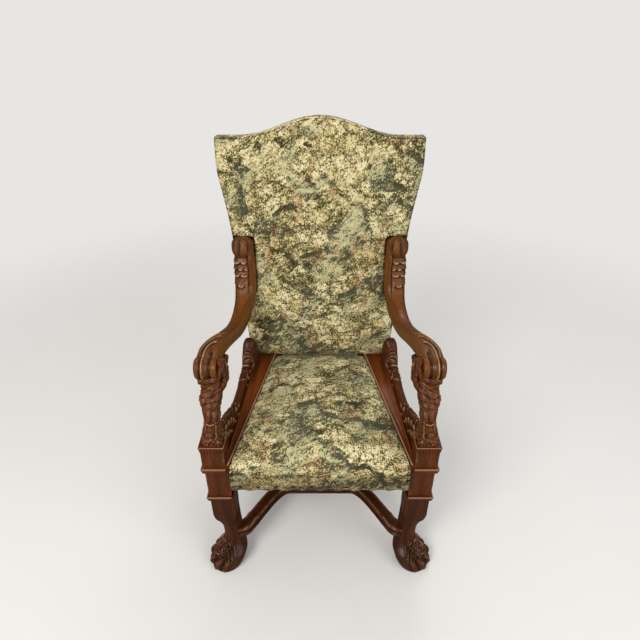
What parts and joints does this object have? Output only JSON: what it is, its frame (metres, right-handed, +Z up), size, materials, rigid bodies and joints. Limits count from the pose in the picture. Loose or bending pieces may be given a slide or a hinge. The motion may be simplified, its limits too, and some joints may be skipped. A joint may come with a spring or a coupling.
{
  "type": "armchair",
  "caption": "High-back armchair with camel-shaped upholstered back, swept arms ending in volutes, carved supports, paw feet and bowed stretchers.",
  "frame": {"origin": "on the floor, at the middle of the chair's bounding box", "axes": "+X to the right seen from the front, -Y is the way the chair faces, +Z up"},
  "size_m": [0.7138, 0.7801, 1.251],
  "materials": {
    "walnut": "waxed dark walnut",
    "walnut_show": "waxed carved walnut, rubbed lighter on the raised edges",
    "tapestry": "woven verdure tapestry in faded greens and cream",
    "linen": "linen-covered hair stuffing",
    "jute": "plain woven jute",
    "bronze": "dark bronzed nail heads, rubbed bright in the middle"
  },
  "bodies": {
    "root": {"front_leg_left": "walnut", "front_leg_right": "walnut", "block_cap_left": "walnut_show", "block_cap_right": "walnut_show", "mid_moulding_left": "walnut_show", "mid_moulding_right": "walnut_show", "low_moulding_left": "walnut_show", "low_moulding_right": "walnut_show", "rear_post_left": "walnut", "rear_post_right": "walnut", "front_rail": "walnut", "rear_rail": "walnut", "side_rail_left": "walnut", "side_rail_right": "walnut", "web_rail_left": "walnut", "web_rail_right": "walnut", "front_corner_left": "walnut", "front_corner_right": "walnut", "rear_corner_left": "walnut", "rear_corner_right": "walnut", "seat_border_left": "walnut_show", "seat_border_right": "walnut_show", "side_scroll_left": "walnut_show", "side_scroll_right": "walnut_show", "arm_support_left": "walnut_show", "arm_support_right": "walnut_show", "arm_left": "walnut_show", "arm_right": "walnut_show", "crest_rail": "walnut", "lower_back_rail": "walnut", "stretcher_front": "walnut", "stretcher_rear": "walnut", "stretcher_link": "walnut", "seat_webbing": "jute", "seat_hessian": "jute", "seat_stuffing": "linen", "seat_cover": "tapestry", "dust_cover": "jute", "back_webbing": "jute", "back_hessian": "jute", "back_stuffing": "linen", "back_cover": "tapestry", "outside_back": "tapestry", "front_nails": "bronze", "back_nails": "bronze"}
  },
  "joints": []
}
